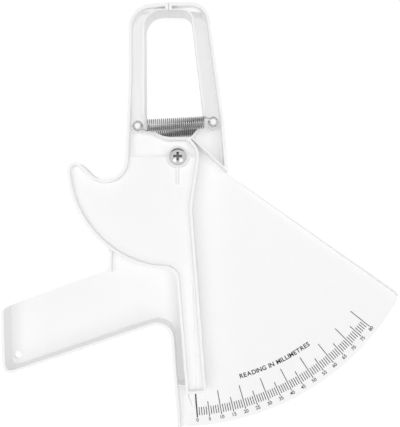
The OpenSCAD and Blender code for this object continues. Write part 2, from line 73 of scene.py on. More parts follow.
print("CAD box in mm:", [[round(c / MM, 1) for c in corner] for corner in cad_box])

# %% [markdown]
# ## Finishing touches that several materials share
# A shader node group is a small machine with named inputs and outputs. It is built once and placed in
# every material that needs it, so an effect is tuned in one place. A few short helpers come first: one
# makes an empty group, one fills a socket, and two add the nodes that do most of the work, math and noise.

# %% Helpers for node trees
def new_group(name, inputs, outputs):
    """Node group: inputs maps a socket's name to its default value, outputs a socket's name to its type."""
    group = bpy.data.node_groups.new(name, "ShaderNodeTree")
    for socket, value in inputs.items():
        kind = "NodeSocketVector" if isinstance(value, tuple) else "NodeSocketFloat"
        group.interface.new_socket(socket, in_out="INPUT", socket_type=kind).default_value = value
    for socket, kind in outputs.items():
        group.interface.new_socket(socket, in_out="OUTPUT", socket_type=kind)
    return group, group.nodes.new("NodeGroupInput"), group.nodes.new("NodeGroupOutput")


def fill(tree, socket, value):
    """Puts a number into a node's input, or links another node's output to it."""
    if isinstance(value, bpy.types.NodeSocket):
        tree.links.new(value, socket)
    else:
        socket.default_value = value


def math_node(tree, operation, first, second=None):
    """Math node whose inputs are numbers or other nodes' outputs; returns its own output."""
    node = tree.nodes.new("ShaderNodeMath")
    node.operation = operation
    fill(tree, node.inputs[0], first)
    if second is not None:
        fill(tree, node.inputs[1], second)
    return node.outputs["Value"]


def noise_node(tree, vector, scale, detail, distortion=0.0):
    """Noise texture of so many bumps to the metre; returns its value."""
    node = tree.nodes.new("ShaderNodeTexNoise")
    tree.links.new(vector, node.inputs["Vector"])
    fill(tree, node.inputs["Scale"], scale)
    node.inputs["Detail"].default_value = detail
    node.inputs["Distortion"].default_value = distortion
    return node.outputs["Fac"]


print("helpers ready for node groups")

# %% [markdown]
# Moulded plastic copies the fine spark-eroded skin of its steel mould, so it has a grain a few tenths of a
# millimetre across. The melt leaves slow swirls of tone as it cools, and handling adds faint scuffs. They
# could be painted by hand, but noise in object space has the right size on every face and rides along
# when the part moves.

# %% The skin of a moulding
GRAIN_SCALE = 2600.0
SWIRL_SCALE = 24.0
SWIRL_DISTORTION = 1.2
SCUFF_SCALE = 900.0
SCUFF_SLANT = 38.0
SCUFF_STRETCH = 0.12
SCUFF_HEIGHT = 0.25
MEAN_PRODUCT = 0.25  # what two noises that each average one half come to when multiplied


def moulded_skin_group():
    """Height of the grain, roughness and tone of a moulded plastic surface, in object space."""
    group, given, made = new_group(
        "moulded_skin",
        {"Grain": GRAIN_SCALE, "Swirl": SWIRL_SCALE, "Roughness": 0.45, "Spread": 0.12},
        {"Height": "NodeSocketFloat", "Roughness": "NodeSocketFloat", "Tone": "NodeSocketFloat"},
    )
    place = group.nodes.new("ShaderNodeTexCoord").outputs["Object"]
    grain = noise_node(group, place, given.outputs["Grain"], 2.0)
    swirl = noise_node(group, place, given.outputs["Swirl"], 3.0, SWIRL_DISTORTION)
    # Scuffs are long and thin: the same noise, stretched eight to one along a slant
    slant = group.nodes.new("ShaderNodeMapping")
    slant.inputs["Rotation"].default_value = (0.0, 0.0, math.radians(SCUFF_SLANT))
    slant.inputs["Scale"].default_value = (1.0, SCUFF_STRETCH, 1.0)
    group.links.new(place, slant.inputs["Vector"])
    scuff = noise_node(group, slant.outputs["Vector"], SCUFF_SCALE, 4.0)
    centred = math_node(group, "SUBTRACT", math_node(group, "MULTIPLY", scuff, swirl), MEAN_PRODUCT)
    spread = math_node(group, "MULTIPLY", centred, given.outputs["Spread"])
    rough = math_node(group, "ADD", spread, given.outputs["Roughness"])
    height = math_node(group, "ADD", grain, math_node(group, "MULTIPLY", scuff, SCUFF_HEIGHT))
    group.links.new(height, made.inputs["Height"])
    group.links.new(rough, made.inputs["Roughness"])
    group.links.new(swirl, made.inputs["Tone"])
    return group


moulded_skin = moulded_skin_group()
print("group:", moulded_skin.name, [s.name for s in moulded_skin.interface.items_tree])

# %% [markdown]
# A moulding is pushed out of its mould by steel pins, and each leaves a faint round witness mark. The marks
# are shallow enough to live in the bump height, which costs no faces: the height dips where the distance
# from a point comes close to a radius.

# %% Round witness marks
def round_mark_group():
    """Height that dips along a ring round a point in X and Y. The dip reaches Width to each side."""
    group, given, made = new_group(
        "round_mark",
        {"Centre": (0.0, 0.0, 0.0), "Radius": 2 * MM, "Width": 0.14 * MM},
        {"Height": "NodeSocketFloat"},
    )
    flat = group.nodes.new("ShaderNodeVectorMath")
    flat.operation = "MULTIPLY"
    flat.inputs[1].default_value = (1.0, 1.0, 0.0)
    group.links.new(group.nodes.new("ShaderNodeTexCoord").outputs["Object"], flat.inputs[0])
    away = group.nodes.new("ShaderNodeVectorMath")
    away.operation = "DISTANCE"
    group.links.new(flat.outputs["Vector"], away.inputs[0])
    group.links.new(given.outputs["Centre"], away.inputs[1])
    past_ring = math_node(group, "SUBTRACT", away.outputs["Value"], given.outputs["Radius"])
    off_ring = math_node(group, "ABSOLUTE", past_ring)
    dip = math_node(group, "DIVIDE", off_ring, given.outputs["Width"])
    group.links.new(math_node(group, "MINIMUM", dip, 1.0), made.inputs["Height"])
    return group


round_mark = round_mark_group()
print("group:", round_mark.name, [s.name for s in round_mark.interface.items_tree])

# %% [markdown]
# ## Materials
# Every material here is a Principled shader whose base colour, roughness and normal come from a noise or a
# group. Three helpers cover what they share: the new material, a colour that moves with a mask, and a bump.

# %% Helpers for materials
RAMP_FROM, RAMP_TO = 0.3, 0.7  # noise seldom leaves this range


def principled(name):
    """New material: itself, its node tree and its Principled shader."""
    material = bpy.data.materials.new(name)
    material.use_nodes = True
    return material, material.node_tree, material.node_tree.nodes["Principled BSDF"]


def tinted(tree, mask, low, high, shader):
    """Base colour that moves from one colour to another as the mask rises."""
    ramp = tree.nodes.new("ShaderNodeValToRGB")
    ramp.color_ramp.elements[0].color = (*low, 1.0)
    ramp.color_ramp.elements[1].color = (*high, 1.0)
    ramp.color_ramp.elements[0].position = RAMP_FROM
    ramp.color_ramp.elements[1].position = RAMP_TO
    tree.links.new(mask, ramp.inputs["Fac"])
    tree.links.new(ramp.outputs["Color"], shader.inputs["Base Color"])


def bumped(tree, height, strength, depth, shader):
    """Bump node from a height, of a depth in millimetres, to the shader's normal."""
    bump = tree.nodes.new("ShaderNodeBump")
    bump.inputs["Strength"].default_value = strength
    bump.inputs["Distance"].default_value = depth * MM
    tree.links.new(height, bump.inputs["Height"])
    tree.links.new(bump.outputs["Normal"], shader.inputs["Normal"])


print("helpers ready for materials")

# %% [markdown]
# Both mouldings are a plain white plastic with a satin skin. The swirls shift its white by a part or two in
# a hundred, which the eye reads as a moulding and not as paint. The two differ only in where their pins
# stood, so one function makes both, and the nylon of the washers with them, duller and finer in the grain.

# %% White plastic and nylon
PLASTIC_IOR = 1.49
GRAIN_STRENGTH, GRAIN_DEPTH = 0.5, 0.03
MARK_HEIGHT = 3.0  # against a grain of height 1
BODY_PINS = [
    (-112, -128, 2.4), (-62, -101, 2.4), (6, -178, 2.4), (60, -110, 2.4), (110, -95, 2.4), (40, -60, 2.4),
]
LEVER_PINS = [(7.9, -117.5, 1.9), (11.8, -117.5, 1.9), (-40, -30, 2.4), (-28, 62, 2.0), (-29, 34, 2.0)]


def moulded_plastic(name, pins, low, high, grain=GRAIN_SCALE):
    """Moulded plastic between two colours; pins lists (x, y, radius) of its marks, in millimetres."""
    material, tree, shader = principled(name)
    skin = tree.nodes.new("ShaderNodeGroup")
    skin.node_tree = moulded_skin
    skin.inputs["Grain"].default_value = grain
    height = skin.outputs["Height"]
    for x, y, radius in pins:
        ring = tree.nodes.new("ShaderNodeGroup")
        ring.node_tree = round_mark
        ring.inputs["Centre"].default_value = (x * MM, y * MM, 0.0)
        ring.inputs["Radius"].default_value = radius * MM
        mark = math_node(tree, "MULTIPLY", ring.outputs["Height"], MARK_HEIGHT)
        height = math_node(tree, "ADD", height, mark)
    tinted(tree, skin.outputs["Tone"], low, high, shader)
    tree.links.new(skin.outputs["Roughness"], shader.inputs["Roughness"])
    bumped(tree, height, GRAIN_STRENGTH, GRAIN_DEPTH, shader)
    shader.inputs["IOR"].default_value = PLASTIC_IOR
    return material


WHITE = {"low": (0.945, 0.945, 0.945), "high": (0.96, 0.96, 0.96)}
body_plastic = moulded_plastic("body_plastic", BODY_PINS, **WHITE)
lever_plastic = moulded_plastic("lever_plastic", LEVER_PINS, **WHITE)
nylon = moulded_plastic("washer_nylon", [], (0.84, 0.84, 0.82), (0.88, 0.88, 0.86), grain=1500.0)
print("plastics:", body_plastic.name, lever_plastic.name, nylon.name)

# %% [markdown]
# The pivot screw and barrel are nickel-plated steel, and the springs are drawn wire. Metal has almost no
# colour of its own: it shows the room. What tells one metal from another is how sharp that picture is, so
# a group gives the fine lines and the cloudy spots that handling leaves, as a change of roughness.

# %% Worn metal
def worn_metal_group():
    """Fine lines and cloudy spots: a height and a roughness round a middle value."""
    group, given, made = new_group(
        "worn_metal",
        {"Lines": 5200.0, "Cloud": 420.0, "Roughness": 0.2, "Spread": 0.16},
        {"Height": "NodeSocketFloat", "Roughness": "NodeSocketFloat", "Cloud": "NodeSocketFloat"},
    )
    place = group.nodes.new("ShaderNodeTexCoord").outputs["Object"]
    cloud = noise_node(group, place, given.outputs["Cloud"], 3.0)
    lines = noise_node(group, place, given.outputs["Lines"], 2.0)
    centred = math_node(group, "SUBTRACT", cloud, 0.5)
    spread = math_node(group, "MULTIPLY", centred, given.outputs["Spread"])
    rough = math_node(group, "ADD", spread, given.outputs["Roughness"])
    group.links.new(lines, made.inputs["Height"])
    group.links.new(rough, made.inputs["Roughness"])
    group.links.new(cloud, made.inputs["Cloud"])
    return group


worn_metal = worn_metal_group()
print("group:", worn_metal.name, [s.name for s in worn_metal.interface.items_tree])

# %% [markdown]
# Three steels come from that group. The plated one is bright and smooth. The recess steel is nearly black and
# dull: it is painted shade, standing in for the shade deep in the cross recess. The wire is darker than the
# plating, and just as smooth.

# %% Steels for the pivot, the recess and the springs
LINES_STRENGTH, LINES_DEPTH = 0.12, 0.01


def steel(name, low, high, roughness, spread):
    """Bare or plated steel between two colours, with a roughness and how far that wanders."""
    material, tree, shader = principled(name)
    wear = tree.nodes.new("ShaderNodeGroup")
    wear.node_tree = worn_metal
    wear.inputs["Roughness"].default_value = roughness
    wear.inputs["Spread"].default_value = spread
    tinted(tree, wear.outputs["Cloud"], low, high, shader)
    tree.links.new(wear.outputs["Roughness"], shader.inputs["Roughness"])
    bumped(tree, wear.outputs["Height"], LINES_STRENGTH, LINES_DEPTH, shader)
    shader.inputs["Metallic"].default_value = 1.0
    return material


plated_steel = steel("plated_steel", (0.55, 0.55, 0.56), (0.63, 0.63, 0.63), 0.14, 0.08)
# Painted shade: the recess steel is nearly black so that the cross recess looks shaded.
recess_shade_steel = steel("recess_shade_steel", (0.07, 0.07, 0.07), (0.12, 0.12, 0.12), 0.42, 0.2)
spring_wire = steel("spring_wire", (0.31, 0.31, 0.32), (0.40, 0.40, 0.40), 0.14, 0.08)
print("metals:", plated_steel.name, recess_shade_steel.name, spring_wire.name)

# %% [markdown]
# Pad-printed ink is a thin black film. It is a little uneven, because the pad lifts as it leaves the part,
# so one noise moves its colour, its roughness and its height together.

# %% Printing ink
PATCH_SCALE = 700.0
INK_ROUGHNESS, INK_SPREAD = 0.25, 0.3
INK_STRENGTH, INK_DEPTH = 0.2, 0.01


def printing_ink():
    """Black ink with slightly lighter, rougher patches."""
    material, tree, shader = principled("printing_ink")
    place = tree.nodes.new("ShaderNodeTexCoord").outputs["Object"]
    patches = noise_node(tree, place, PATCH_SCALE, 3.0)
    tinted(tree, patches, (0.012, 0.012, 0.013), (0.035, 0.035, 0.036), shader)
    rough = math_node(tree, "ADD", math_node(tree, "MULTIPLY", patches, INK_SPREAD), INK_ROUGHNESS)
    tree.links.new(rough, shader.inputs["Roughness"])
    bumped(tree, patches, INK_STRENGTH, INK_DEPTH, shader)
    return material


ink = printing_ink()
print("ink:", ink.name)

# %% [markdown]
# ## Placing a finished piece
# A finished piece is a mesh whose object sits at the origin, with its place in its points. It takes a
# material, is shaded smooth up to a given angle, and rides on the CAD body that carries it. The springs
# are the exception: they run from one body to the other, so they name no single body here.

# %% Turn a bmesh into a piece
def set_material(piece, material):
    """Gives the whole piece one material."""
    piece.data.materials.clear()
    piece.data.materials.append(material)


def piece_from(bm, name, material, body, sharp=40.0):
    """Object from a bmesh, smooth where its faces meet at less than the sharp angle, in degrees."""
    for face in bm.faces:
        face.smooth = True
    for edge in bm.edges:
        edge.smooth = len(edge.link_faces) == 2 and edge.calc_face_angle() < math.radians(sharp)
    mesh = bpy.data.meshes.new(name)
    bm.to_mesh(mesh)
    bm.free()
    piece = bpy.data.objects.new(name, mesh)
    bpy.context.scene.collection.objects.link(piece)
    set_material(piece, material)
    if body:
        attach(piece, body)
    return piece


# %% [markdown]
# ## The two mouldings
# No edge of a real moulding is sharp, because the mould is cut with round tools, and it is the rounded
# rims that catch the light. The CAD solids are exact but sharp. They could be modelled again with round
# edges, but then two models would have to agree, so each CAD mesh is copied and only its edges change.
# First its loose triangles are merged into whole faces, because a bevel needs clean edges to run along.

# %% Merge a copy of a CAD node
WELD = 0.002 * MM
SLIVER = 0.08 * MM
FLAT_ANGLE = math.radians(0.4)
CORNER = 30  # degrees; two faces that turn more than this make a corner worth rounding


def merged_copy(node):
    """bmesh of a CAD node with its triangles joined into flat faces and its slivers closed up."""
    bm = bmesh.new()
    bm.from_mesh(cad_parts[node].data)
    bmesh.ops.remove_doubles(bm, verts=bm.verts, dist=WELD)
    bmesh.ops.dissolve_limit(bm, angle_limit=FLAT_ANGLE, verts=bm.verts, edges=bm.edges)
    bmesh.ops.remove_doubles(bm, verts=bm.verts, dist=SLIVER)
    return bm


def faces_turn(edge):
    """Angle between an edge's two faces, in degrees: above zero on an outer corner, below on an inner one."""
    return math.degrees(edge.calc_face_angle_signed(0.0)) if len(edge.link_faces) == 2 else 0.0


for name in ("body", "lever"):
    trial = merged_copy(name)
    outer = [e for e in trial.edges if faces_turn(e) > CORNER]
    inner = [e for e in trial.edges if faces_turn(e) < -CORNER]
    shortest = min(e.calc_length() for e in outer + inner) / MM
    print(name, len(trial.faces), "faces,", len(outer), "outer and", len(inner), "inner edges")
    print(name, "shortest edge", round(shortest, 3), "mm")
    trial.free()

# %% [markdown]
# An edge is chosen by what its faces do. Tops of rims and the edges under them are outer corners between a
# level face and an upright one, and the foot of a wall is such a corner turned inwards. Where a wall is
# thinner than two bevels its edges stay sharp, because the bevels would cross and fold. That holds along
# the fan's low rim, and at the point where the rim round the handle runs out.

# %% Which edges to round
LEVEL = 0.9  # least Z of a level face's normal
UPRIGHT = 0.3  # greatest Z of an upright face's normal
LOW_RIM_BELOW = -20 * MM
LOW_RIM_TOP = 5 * MM
HANDLE_TIP = Vector((-121.35, -106.5)) * MM
TIP_REACH = 2 * MM
SHORTEST_FOOT = 0.25 * MM  # an inner corner shorter than this leaves a bevel no room


def joins_level_face(edge, side):
    """True where a level face that looks up (side 1) or down (side -1) meets an upright one."""
    looks = sorted((side * face.normal.z for face in edge.link_faces), reverse=True)
    return looks[0] > LEVEL and abs(looks[1]) < UPRIGHT


def keeps_its_edge(edge):
    """True where a wall is too thin for a bevel: on the fan's low rim, and at the handle's tip."""
    reaches_down = min(v.co.y for v in edge.verts) < LOW_RIM_BELOW
    low_rim = reaches_down and max(v.co.z for v in edge.verts) < LOW_RIM_TOP
    return low_rim or all((v.co.xy - HANDLE_TIP).length < TIP_REACH for v in edge.verts)


def top_edges(bm):
    """Outer edges round the tops of the rims and the upper faces."""
    return [
        e for e in bm.edges
        if faces_turn(e) > CORNER and joins_level_face(e, 1) and not keeps_its_edge(e)
    ]


def under_edges(bm):
    """Outer edges round the faces that look down."""
    return [e for e in bm.edges if faces_turn(e) > CORNER and joins_level_face(e, -1)]


def foot_edges(bm, lowest, highest):
    """Inner corners where walls stand on a floor, between two places in Y, in millimetres."""
    return [
        e for e in bm.edges
        if faces_turn(e) < -CORNER and joins_level_face(e, 1) and e.calc_length() > SHORTEST_FOOT
        and all(lowest < v.co.y / MM < highest for v in e.verts)
    ]


for name in ("body", "lever"):
    trial = merged_copy(name)
    print(name, len(top_edges(trial)), "top edges,", len(under_edges(trial)), "edges underneath")
    trial.free()

# %% [markdown]
# The bevels are cut in passes, from the edges that show most to those that show least: tops of the rims,
# then the edges underneath, then the feet of the walls. The foot of an arm's wall is tighter than that of
# a plate's, so feet are split by their place. A Weighted Normal modifier then keeps the big faces flat to
# the light, and bends only the narrow bevel faces.

# %% Round the edges
BEVEL_SEGMENTS = 4
MOULDING_SHARP = 32.0
BODY_WIDTHS = {"top": 0.4, "under": 0.3, "arm_foot": 0.35, "plate_foot": 1.0}
LEVER_WIDTHS = {"top": 0.45, "under": 0.4, "arm_foot": 0.4, "plate_foot": 0.8}
BODY_ARM_FROM = -12.0
LEVER_ARM_FROM = 0.3


def rounded(bm, edges, width):
    """Bevels these edges round by a width in millimetres; returns how many there were."""
    bmesh.ops.bevel(
        bm, geom=edges, offset=width * MM, offset_type="OFFSET", affect="EDGES", segments=BEVEL_SEGMENTS,
        profile=0.5, material=-1, clamp_overlap=False, loop_slide=False,
    )
    return len(edges)


def moulding(node, name, body, material, arm_from, widths):
    """Rounded copy of a CAD moulding. Its arm lies above arm_from in Y; widths are in millimetres."""
    bm = merged_copy(node)
    # Each pass changes the mesh, so its edges are looked up only when its turn comes
    passes = {
        "top": lambda: top_edges(bm),
        "under": lambda: under_edges(bm),
        "arm_foot": lambda: foot_edges(bm, arm_from, math.inf),
        "plate_foot": lambda: foot_edges(bm, -math.inf, arm_from),
    }
    for group, edges in passes.items():
        print(name, group, rounded(bm, edges(), widths[group]), "edges, width", widths[group])
    low = [round(min(v.co[i] for v in bm.verts) / MM, 2) for i in range(3)]
    high = [round(max(v.co[i] for v in bm.verts) / MM, 2) for i in range(3)]
    print(name, "box", low, high, len(bm.faces), "faces")
    piece = piece_from(bm, name, material, body, sharp=MOULDING_SHARP)
    even = piece.modifiers.new("even_shading", "WEIGHTED_NORMAL")
    even.keep_sharp = True
    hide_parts(node)


moulding("body", "body_moulding", "frame", body_plastic, BODY_ARM_FROM, BODY_WIDTHS)
moulding("lever", "lever_moulding", "lever", lever_plastic, LEVER_ARM_FROM, LEVER_WIDTHS)

# %% [markdown]
# ## Springs
# Two extension springs pull the jaws shut, one in front of the arms and one behind. Each is a single
# wire: a loop round a post, a lead, a close helix, and the same again at the other end. Only one end is
# worked out. The other is that end turned over, as on a real spring, so the two always match.

# %% The wire's centreline
WIRE_R = 0.95 / 2
COIL_R = (8.6 - 0.95) / 2
COIL_PITCH = 1.4
STEPS_PER_TURN = 20
LOOP_R = 3.2
LOOP_FROM, LOOP_TO, LOOP_STEP = -20, 300, 8
LEAD_L = LOOP_R + 2.5
LEAD_STEPS = 12
LEAVES_LOOP = Vector((1.6, 0.9, 0))
MEETS_COIL = Vector((-0.4, 0, 1.4))


def polar(radius, degrees):
    """Point at a radius and an angle, in the XY plane."""
    return Vector((radius * math.cos(math.radians(degrees)), radius * math.sin(math.radians(degrees)), 0.0))


def bezier(a, b, c, d, t):
    """Point of a cubic Bezier curve."""
    return a * (1 - t) ** 3 + b * 3 * t * (1 - t) ** 2 + c * 3 * t * t * (1 - t) + d * t**3


def coil_point(start, turned):
    """Point of the helix after so many turns. It starts at the side where the lead comes in."""
    angle = math.pi + 2 * math.pi * turned
    return Vector((start + COIL_PITCH * turned, COIL_R * math.cos(angle), COIL_R * math.sin(angle)))


def spring_line(span):
    """Points of a spring from post to post, in millimetres, along X with Z along the posts."""
    turns = math.floor((span - 2 * LEAD_L) / COIL_PITCH - 0.5) + 0.5
    start = (span - turns * COIL_PITCH) / 2
    p0, p1 = polar(LOOP_R, LOOP_TO), coil_point(start, 0)
    end = [polar(LOOP_R, a) for a in range(LOOP_FROM, LOOP_TO + 1, LOOP_STEP)]
    end += [bezier(p0, p0 + LEAVES_LOOP, p1 + MEETS_COIL, p1, i / LEAD_STEPS) for i in range(1, LEAD_STEPS)]
    steps = round(turns * STEPS_PER_TURN)
    coil = [coil_point(start, turns * i / steps) for i in range(steps + 1)]
    return end + coil + [Vector((span - p.x, -p.y, p.z)) for p in reversed(end)]


print("a spring 53 mm long has", len(spring_line(53.0)), "points")

# %% [markdown]
# A curve with a round bevel makes such a wire in one go, which is simpler than sweeping a section by hand. It
# becomes a mesh. Its two ends ride on different bodies, so it is tied to no single body here.

# %% The two springs
LEFT_POST, RIGHT_POST = (-27.5, 20.6), (24.7, 23.4)
REAR_DROP = 1.7
FRONT_SPRING_Z, REAR_SPRING_Z = 22.0, -5.0
WIRE_RESOLUTION = 3
WIRE_SHARP = 60.0


def spring(name, node, left, right, z):
    """Spring wire between two posts given in X and Y, at height z, all in millimetres."""
    a, b = Vector((*left, z)), Vector((*right, z))
    curve = bpy.data.curves.new(name, "CURVE")
    curve.dimensions = "3D"
    curve.bevel_depth = WIRE_R * MM
    curve.bevel_resolution = WIRE_RESOLUTION
    curve.use_fill_caps = True
    line = curve.splines.new("POLY")
    points = spring_line((b - a).length)
    line.points.add(len(points) - 1)
    turn = Matrix.Rotation(math.atan2(b.y - a.y, b.x - a.x), 4, "Z")
    for point, co in zip(line.points, points):
        point.co = (*((a + turn @ co) * MM), 1.0)
    holder = bpy.data.objects.new(name, curve)
    bm = bmesh.new()
    bm.from_mesh(bpy.data.meshes.new_from_object(holder))
    bpy.data.objects.remove(holder)
    bmesh.ops.remove_doubles(bm, verts=bm.verts, dist=0.001 * MM)
    piece = piece_from(bm, name, spring_wire, None, sharp=WIRE_SHARP)
    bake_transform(piece)
    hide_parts(node)
    print(name, len(points), "points,", len(piece.data.polygons), "faces")


def lowered(post):
    """Place of a rear post, a little below the one in front."""
    return post[0], post[1] - REAR_DROP


spring("front_spring_wire", "front_spring", LEFT_POST, RIGHT_POST, FRONT_SPRING_Z)
spring("rear_spring_wire", "rear_spring", lowered(LEFT_POST), lowered(RIGHT_POST), REAR_SPRING_Z)

# %% [markdown]
# ## The pivot
# A flanged barrel comes up through both hubs from behind, and a pan-head screw closes it from the front,
# over a nylon washer. A second washer keeps the hubs apart. All four are turned parts, so half of each
# section is drawn once and spun. Their corners are eased in the section itself, which needs no bevel.

# %% Turned pieces
SPIN_STEPS = 96
SCREW_HOLE_R = 1.95
BARREL_HOLE_R = 3.55
WASHER_EASE = 0.15


def turned(profile, closed=False):
    """bmesh of a section, given as (radius, height) in millimetres, spun round the pivot axis."""
    bm = bmesh.new()
    verts = [bm.verts.new((r * MM, 0.0, z * MM)) for r, z in profile]
    edges = [bm.edges.new(pair) for pair in zip(verts, verts[1:] + verts[:1] if closed else verts[1:])]
    bmesh.ops.spin(
        bm, geom=verts + edges, cent=(0, 0, 0), axis=(0, 0, 1), angle=2 * math.pi, steps=SPIN_STEPS,
        use_merge=True, use_duplicate=False,
    )
    bmesh.ops.remove_doubles(bm, verts=bm.verts, dist=0.001 * MM)
    bmesh.ops.recalc_face_normals(bm, faces=bm.faces)
    return bm


def ring_profile(inner, outer, low, high, ease):
    """Section of a washer with its four edges eased."""
    return [
        (inner + ease, low), (outer - ease, low), (outer, low + ease), (outer, high - ease),
        (outer - ease, high), (inner + ease, high), (inner, high - ease), (inner, low + ease),
    ]


def node_span(node):
    """Lowest and highest Z of a CAD node, in millimetres."""
    low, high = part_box(node)
    return low.z / MM, high.z / MM


for node, name, inner in (
    ("front_washer", "front_washer_ring", SCREW_HOLE_R),
    ("spacer_washer", "spacer_washer_ring", BARREL_HOLE_R),
):
    low, high = node_span(node)
    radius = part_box(node)[1].x / MM
    profile = ring_profile(inner, radius, low, high, WASHER_EASE)
    ring = piece_from(turned(profile, closed=True), name, nylon, "frame")
    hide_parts(node)
    print(name, "radius", round(radius, 2), "z", round(low, 2), "to", round(high, 2))

# %% [markdown]
# The barrel is the female half of the pivot: a tube that the lever turns on, with a flat flange that keeps
# it from coming through. Its section has more corners than a washer's, and is spun in the same way.

# %% The pivot barrel
BORE_R, TUBE_R, FLANGE_R, FLANGE_H = 1.95, 3.5, 6.5, 1.5
BACK_EASE, TOP_EASE, BORE_EASE = 0.25, 0.2, 0.15
barrel_top = node_span("pivot_barrel")[1]
barrel = turned([
    (BORE_R, BACK_EASE), (BORE_R + BACK_EASE, 0.0), (FLANGE_R - BACK_EASE, 0.0), (FLANGE_R, BACK_EASE),
    (FLANGE_R, FLANGE_H - TOP_EASE), (FLANGE_R - TOP_EASE, FLANGE_H), (TUBE_R, FLANGE_H),
    (TUBE_R, barrel_top - TOP_EASE), (TUBE_R - TOP_EASE, barrel_top), (BORE_R + BORE_EASE, barrel_top),
    (BORE_R, barrel_top - BORE_EASE),
], closed=True)
barrel_piece = piece_from(barrel, "pivot_barrel_turned", plated_steel, "frame")
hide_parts("pivot_barrel")
print("barrel from 0 to", round(barrel_top, 2), "mm")

# %% [markdown]
# The screw's head is a low dome. An arc of a circle gives it: the circle's radius follows from how wide the
# head is and how far the dome rises. The shank and the straight edge of the head are part of the section.

# %% The screw before its recess is punched
HEAD_R, HEAD_H, HEAD_EDGE = 6.1, 3.4, 1.1
SHANK_R, TIP_EASE, HEAD_EASE = 1.9, 0.3, 0.15
DOME_INSET, DOME_DROP = 0.25, 0.2
DOME_POINTS = 14
SCREW_SHARP = 35.0
screw_low, screw_high = node_span("pivot_screw")
head_z = screw_high - HEAD_H
dome_h = HEAD_H - HEAD_EDGE
dome_r = (HEAD_R**2 + dome_h**2) / (2 * dome_h)


def dome(count):
    """Points of the head's dome from its edge to the axis."""
    reach = math.asin((HEAD_R - DOME_INSET) / dome_r)
    tilts = [reach * (1 - i / count) for i in range(count + 1)]
    return [(dome_r * math.sin(tilt), screw_high - dome_r * (1 - math.cos(tilt))) for tilt in tilts]


screw = turned([
    (0.0, screw_low), (SHANK_R - TIP_EASE, screw_low), (SHANK_R, screw_low + TIP_EASE), (SHANK_R, head_z),
    (HEAD_R - HEAD_EASE, head_z), (HEAD_R, head_z + HEAD_EASE), (HEAD_R, head_z + HEAD_EDGE - DOME_DROP),
] + dome(DOME_POINTS))
screw_piece = piece_from(screw, "pivot_screw_turned", plated_steel, "frame", sharp=SCREW_SHARP)
print("screw from", round(screw_low, 2), "to", round(screw_high, 2), "mm, dome radius", round(dome_r, 2))

# %% [markdown]
# The recess is a tapered cross, cut out of the dome by a Boolean modifier that is then made real, so that
# nothing is left live. The cutter has a steel of its own, nearly black and dull, which paints shade into the
# recess, and the modifier hands it over to the walls that it cuts.

# %% The cross recess
BAR_SIZE = Vector((7.8, 1.9, 6.0)) * MM
BAR_FOOT = (0.62, 0.85, 1.0)  # how far a bar has narrowed where it ends
CUTTER_LIFT = 0.1


def recess_cutter():
    """Cross of two bars that narrow towards the bottom of the recess."""
    bm = bmesh.new()
    for turn in (0, 90):
        bar = bmesh.ops.create_cube(bm, size=1.0)["verts"]
        bmesh.ops.scale(bm, vec=BAR_SIZE, verts=bar)
        bmesh.ops.scale(bm, vec=BAR_FOOT, verts=[v for v in bar if v.co.z < 0])
        bmesh.ops.rotate(bm, cent=(0, 0, 0), matrix=Matrix.Rotation(math.radians(turn), 3, "Z"), verts=bar)
        bmesh.ops.translate(bm, vec=(0, 0, (screw_high + CUTTER_LIFT) * MM), verts=bar)
    mesh = bpy.data.meshes.new("recess_cutter")
    bm.to_mesh(mesh)
    bm.free()
    cutter = bpy.data.objects.new("recess_cutter", mesh)
    bpy.context.scene.collection.objects.link(cutter)
    # The cutter carries the painted-shade steel, which the cut hands over to the recess walls.
    set_material(cutter, recess_shade_steel)
    return cutter


cutter = recess_cutter()
cut = screw_piece.modifiers.new("recess", "BOOLEAN")
cut.object = cutter
cut.solver = "EXACT"
cut.use_self = True
cut.material_mode = "TRANSFER"
real = bpy.data.meshes.new_from_object(screw_piece.evaluated_get(bpy.context.evaluated_depsgraph_get()))
screw_piece.modifiers.clear()
screw_piece.data = real
bpy.data.objects.remove(cutter)
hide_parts("pivot_screw")
in_recess = sum(face.material_index for face in real.polygons)
print("screw", len(real.polygons), "faces, of which", in_recess, "in the recess")

# %% [markdown]
# ## The print
# The CAD model already holds the scale's marks as thin slabs of ink. The numbers follow the same rule
# as the marks: each stands where the pointer is when the jaws are that far apart. The jaws open by a chord
# of the circle that they swing on, so the reading gives the swing, and the swing the place on the fan.

# %% Where a reading stands on the fan
FAN_CENTRE = Vector((-0.2, -10.5))
FAN_R = 180.0
JAW_MID = Vector((6.5, 108.4 - 5.5 / 2))
ZERO_ANGLE = 4.15


def reading_angle(reading, radius):
    """Angle about the fan's centre, at a radius, of the line on which the pointer shows this reading."""
    swing = 2 * math.asin(reading / (2 * JAW_MID.length))
    aim = math.radians(ZERO_ANGLE - 90) + swing
    ray = Vector((math.cos(aim), math.sin(aim)))
    nearest = FAN_CENTRE.dot(ray)
    along = nearest + math.sqrt(nearest**2 - FAN_CENTRE.length_squared + radius**2)
    point = ray * along - FAN_CENTRE
    return math.atan2(point.y, point.x)


ends = [round(math.degrees(reading_angle(reading, FAN_R)), 1) for reading in (0, 80)]
print("readings 0 and 80 stand at", ends, "degrees")

# %% [markdown]
# Text is turned into a mesh first and only then moved to its place, so its object stays at the origin. The
# letters are given a hair of thickness, and lie a hundredth of a millimetre above the fan, as ink does.

# %% Numbers round the scale
SHEET_TOP = 2.0
INK_Z = SHEET_TOP + 0.01
INK_THICK = 0.03
NUMBER_R, NUMBER_SIZE, NUMBER_WEIGHT = 180.6, 3.6, 0.07
LAST_READING, READING_STEP = 80, 5


